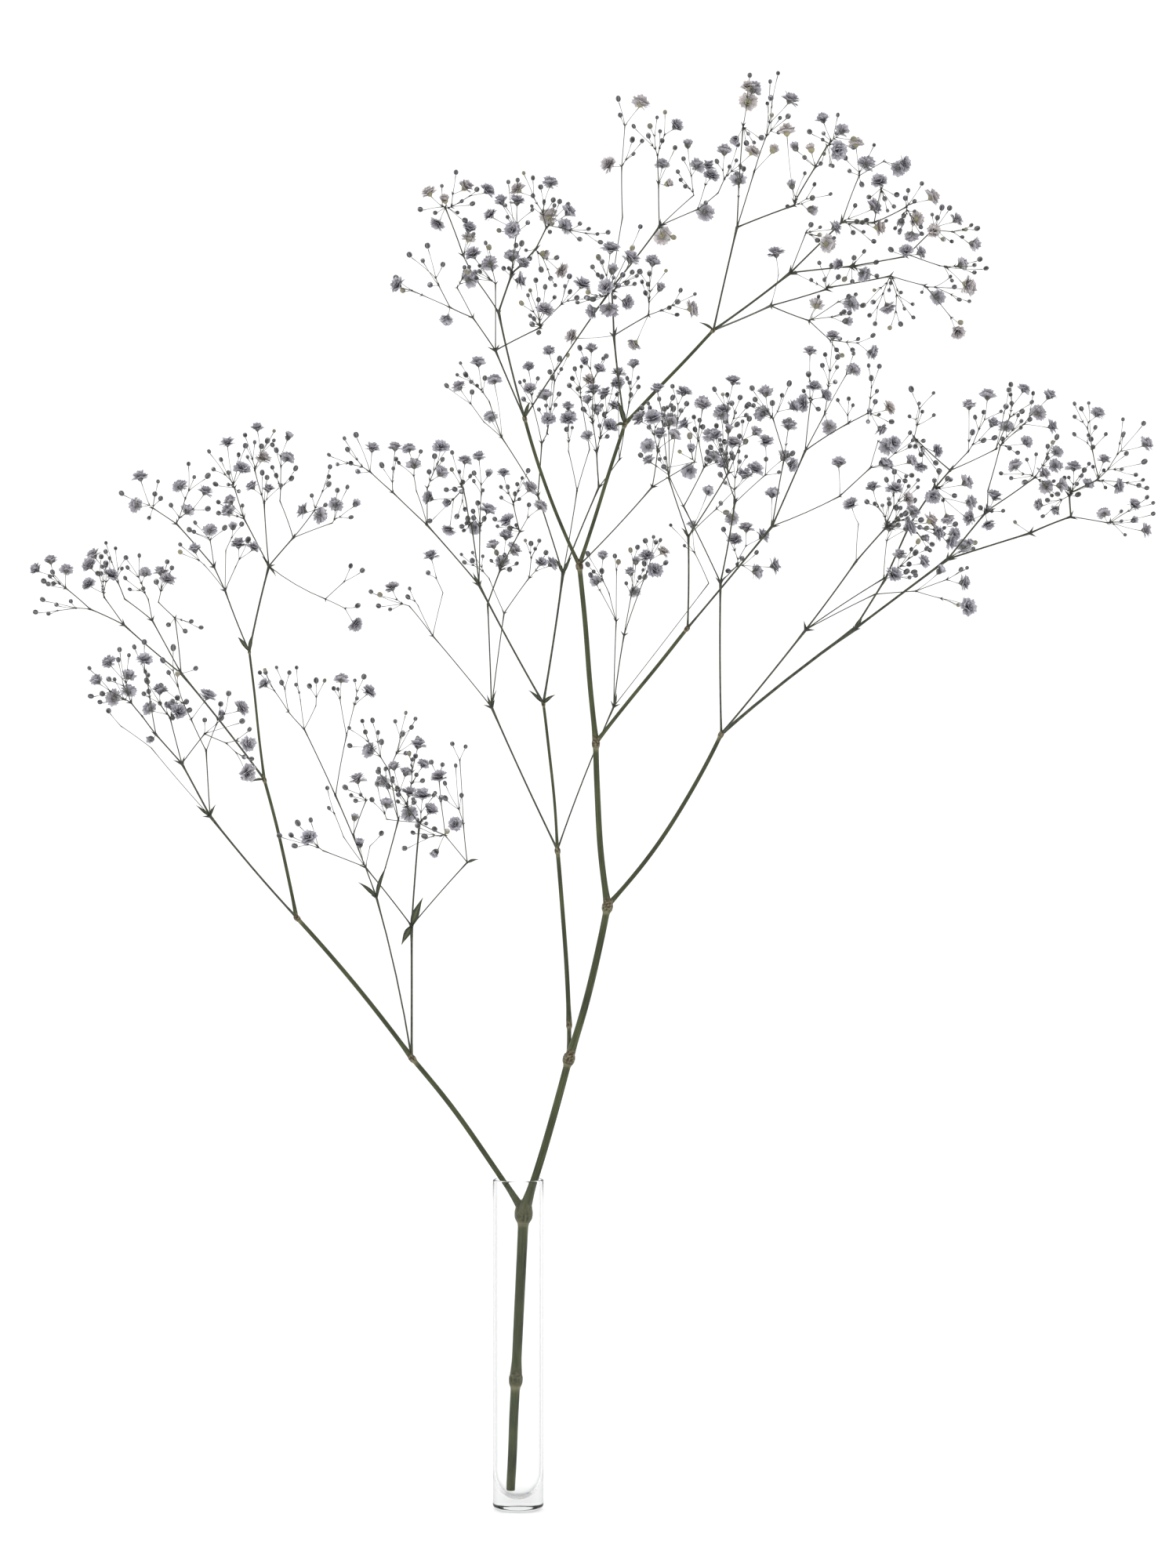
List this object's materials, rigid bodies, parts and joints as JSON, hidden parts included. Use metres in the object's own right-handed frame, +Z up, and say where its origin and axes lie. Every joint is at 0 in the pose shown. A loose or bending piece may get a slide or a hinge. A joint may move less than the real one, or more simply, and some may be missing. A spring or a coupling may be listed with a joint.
{
  "type": "gypsophila stem in a glass tube vase",
  "caption": "Cut gypsophila stem that forks into airy sprays of small double grey-lilac blooms and buds, standing in a slim clear glass tube vase.",
  "frame": {"origin": "centre of the glass tube's flat foot, on the surface it stands on", "axes": "+Z up along the tube's axis, +X to the viewer's right in the front view, -Y towards the viewer"},
  "size_m": [0.5805, 0.2543, 0.7179],
  "materials": {
    "clear_glass": "clear polished glass",
    "stem_green": "dull olive green bark with fine fibres, brown at the knots",
    "blossom": "dry matt petals, grey with a lilac tint"
  },
  "bodies": {
    "root": {"glass_tube": "clear_glass", "main_stem": "stem_green", "spray_far_left": "blossom", "spray_low_left": "blossom", "spray_left_a": "blossom", "spray_left_b": "blossom", "spray_tall_front": "blossom", "spray_low_front": "blossom", "spray_inner_left": "blossom", "spray_inner_mid": "blossom", "spray_inner_right": "blossom", "spray_behind": "blossom", "spray_top_left": "blossom", "spray_top_back": "blossom", "spray_top_near": "blossom", "spray_top_mid": "blossom", "spray_crown_a": "blossom", "spray_crown_b": "blossom", "spray_crown_c": "blossom", "spray_mid_near": "blossom", "spray_mid_a": "blossom", "spray_mid_back": "blossom", "spray_mid_c": "blossom", "spray_right_near": "blossom", "spray_right_far": "blossom"}
  },
  "joints": []
}
